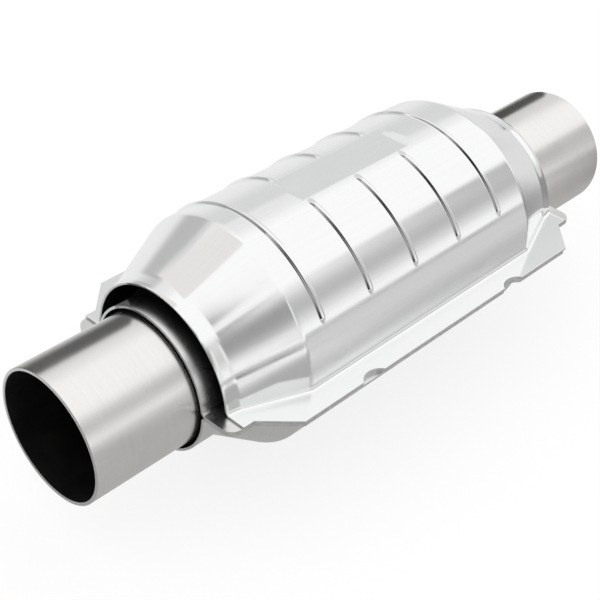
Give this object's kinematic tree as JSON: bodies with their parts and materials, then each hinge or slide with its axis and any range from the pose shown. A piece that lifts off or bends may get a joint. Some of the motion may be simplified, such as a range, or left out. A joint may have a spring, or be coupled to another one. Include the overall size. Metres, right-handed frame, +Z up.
{
  "type": "catalytic converter",
  "caption": "Round welded catalytic converter with a pipe stub at each end, flanged half shells, ceramic honeycomb bricks and a ribbed heat shield over the upper half",
  "frame": {"origin": "centre of the inlet pipe's open mouth, on the gas axis", "axes": "+X along the gas axis to the outlet, +Z up through the crown of the heat shield, +Y across the flanges"},
  "size_m": [0.3429, 0.1352, 0.1146],
  "materials": {
    "bright_sheet": "bright stamped stainless sheet, faint rolling lines",
    "shell_sheet": "satin stamped stainless sheet",
    "brushed_tube": "satin welded stainless tube",
    "coated_ceramic": "matt washcoated ceramic",
    "ceramic_fibre": "pressed fibre mat",
    "wire_mesh": "knitted wire, pressed"
  },
  "bodies": {
    "root": {"heat_shield": "bright_sheet", "upper_shell": "shell_sheet", "lower_shell": "shell_sheet", "inlet_pipe": "brushed_tube", "outlet_pipe": "brushed_tube", "front_brick": "coated_ceramic", "rear_brick": "coated_ceramic", "front_mat": "ceramic_fibre", "rear_mat": "ceramic_fibre", "front_brick_inlet_seal": "wire_mesh", "front_brick_outlet_seal": "wire_mesh", "rear_brick_inlet_seal": "wire_mesh", "rear_brick_outlet_seal": "wire_mesh"}
  },
  "joints": []
}
